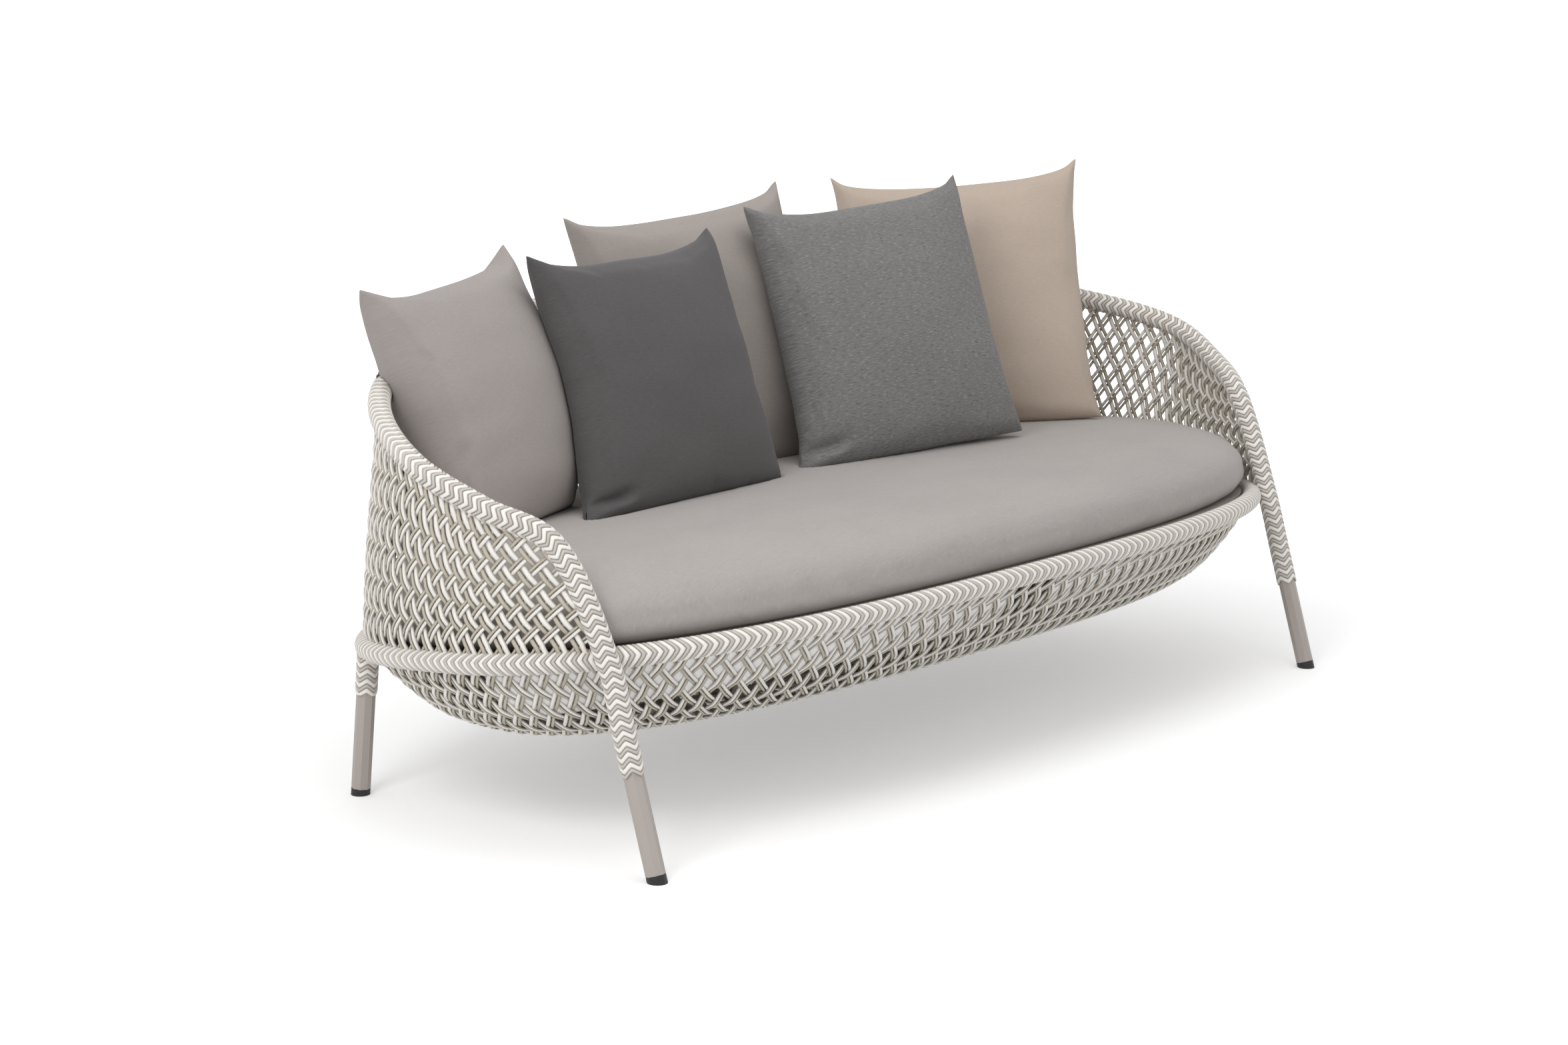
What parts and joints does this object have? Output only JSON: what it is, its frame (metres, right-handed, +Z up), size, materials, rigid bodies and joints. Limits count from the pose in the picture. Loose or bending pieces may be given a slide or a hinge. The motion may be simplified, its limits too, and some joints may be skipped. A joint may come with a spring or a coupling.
{
  "type": "garden sofa",
  "caption": "Oval garden sofa: a woven basket seat and wrapped-round back on a bent tube frame with raking legs, a thick loose seat cushion and loose scatter cushions.",
  "frame": {"origin": "on the floor, under the middle of the sofa", "axes": "+Z up, +Y from the open front to the back, +X along the seat to the right as seen from the front"},
  "size_m": [2.0238, 0.9252, 0.9384],
  "materials": {
    "tube": "satin taupe-grey powder coat",
    "glide": "matt black plastic",
    "braid": "paired flat strands in off-white and taupe-grey, satin",
    "weave": "diagonal strands in cream, off-white and taupe-grey, satin",
    "liner": "bright white sheet",
    "sling": "woven grey-taupe sling",
    "seat_fabric": "fine greige outdoor weave",
    "taupe_fabric": "fine light taupe weave",
    "charcoal_fabric": "charcoal weave",
    "grey_fabric": "light grey-taupe weave",
    "melange_fabric": "mid-grey melange weave",
    "sand_fabric": "sand weave"
  },
  "bodies": {
    "root": {"rim_and_front_legs": "tube", "seat_ring": "tube", "seat_ring_joiner": "tube", "back_leg_right": "tube", "back_leg_left": "tube", "glide_front_right": "glide", "glide_front_left": "glide", "glide_back_right": "glide", "glide_back_left": "glide", "rim_braid": "braid", "seat_ring_braid": "braid", "back_leg_braid_right": "braid", "back_leg_braid_left": "braid", "wall_weave": "weave", "back_upright_1": "tube", "back_upright_2": "tube", "back_upright_3": "tube", "back_upright_4": "tube", "basket_side_weave": "weave", "basket_floor_weave": "weave", "basket_hoop": "tube", "inner_liner_left": "liner", "inner_liner_right": "liner", "seat_rod_1": "tube", "cradle_rod_1": "tube", "seat_rod_2": "tube", "cradle_rod_2": "tube", "seat_rod_3": "tube", "cradle_rod_3": "tube", "seat_rod_4": "tube", "cradle_rod_4": "tube", "seat_rod_5": "tube", "cradle_rod_5": "tube", "seat_sling": "sling", "seat_cushion": "seat_fabric", "scatter_cushion_taupe_left": "taupe_fabric", "scatter_cushion_charcoal": "charcoal_fabric", "scatter_cushion_grey_back": "grey_fabric", "scatter_cushion_melange": "melange_fabric", "scatter_cushion_sand_right": "sand_fabric"}
  },
  "joints": []
}
